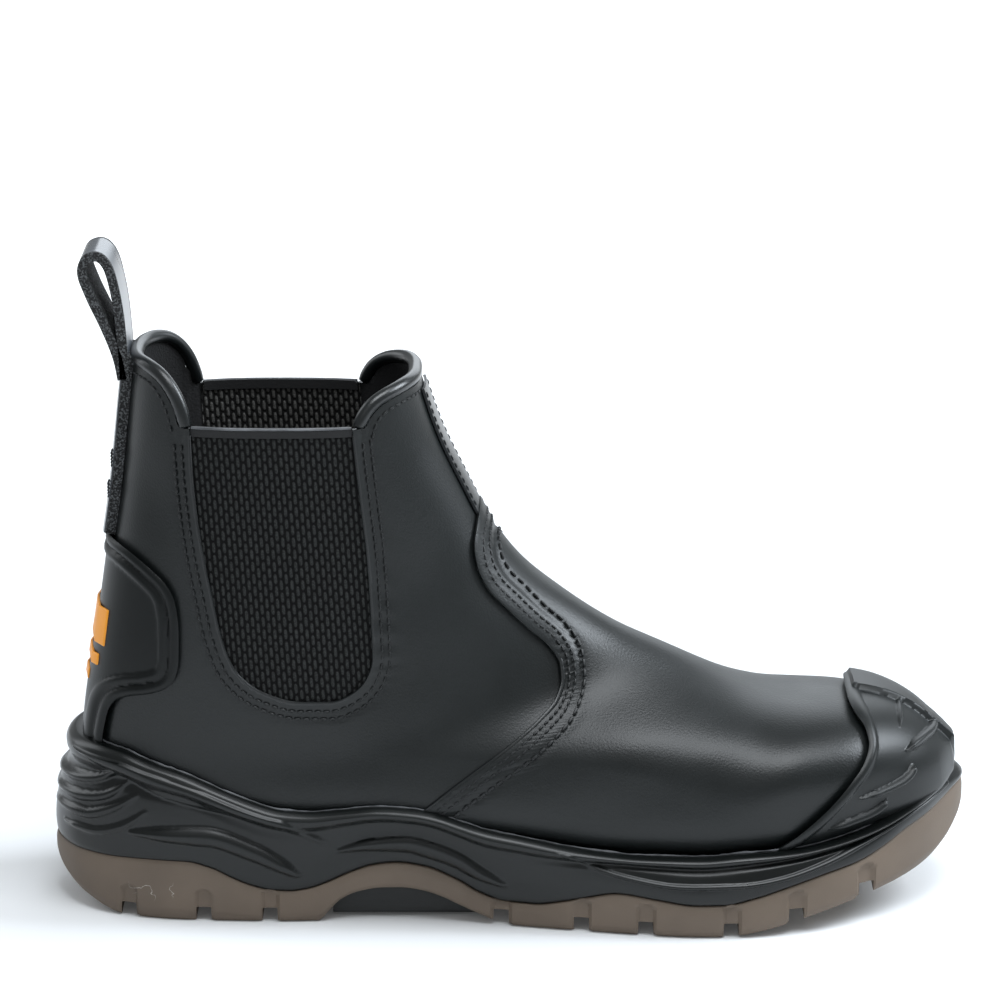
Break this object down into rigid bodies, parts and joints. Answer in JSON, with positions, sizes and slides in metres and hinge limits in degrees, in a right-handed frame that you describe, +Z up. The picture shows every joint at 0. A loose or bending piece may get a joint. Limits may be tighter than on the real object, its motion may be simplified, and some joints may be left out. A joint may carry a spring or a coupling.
{
  "type": "side gore work boot",
  "caption": "Right ankle work boot with elastic side panels, pull loop, moulded heel and toe guards, cupped midsole and lugged outsole.",
  "frame": {"origin": "on the floor under the middle of the heel, on the flat of the tread", "axes": "+X towards the toe along the boot, +Y to the medial side, +Z up; the lateral side faces -Y"},
  "size_m": [0.312, 0.1093, 0.2248],
  "materials": {
    "outsole_rubber": "matte",
    "black_rubber": "satin",
    "insole_felt": "matte",
    "black_leather": "satin",
    "elastic_cloth": "matte",
    "webbing": "matte",
    "orange_print": "matte"
  },
  "bodies": {
    "root": {"outsole": "outsole_rubber", "midsole": "black_rubber", "arch_block": "black_rubber", "insole": "insole_felt", "upper": "black_leather", "gore_lateral": "elastic_cloth", "gore_medial": "elastic_cloth", "toe_guard": "black_rubber", "heel_counter": "black_rubber", "counter_bar_1": "orange_print", "counter_bar_2": "orange_print", "counter_bar_3": "orange_print", "front_strip": "black_leather", "pull_loop": "webbing", "collar_roll_back": "black_leather", "collar_roll_front": "black_leather"}
  },
  "joints": []
}
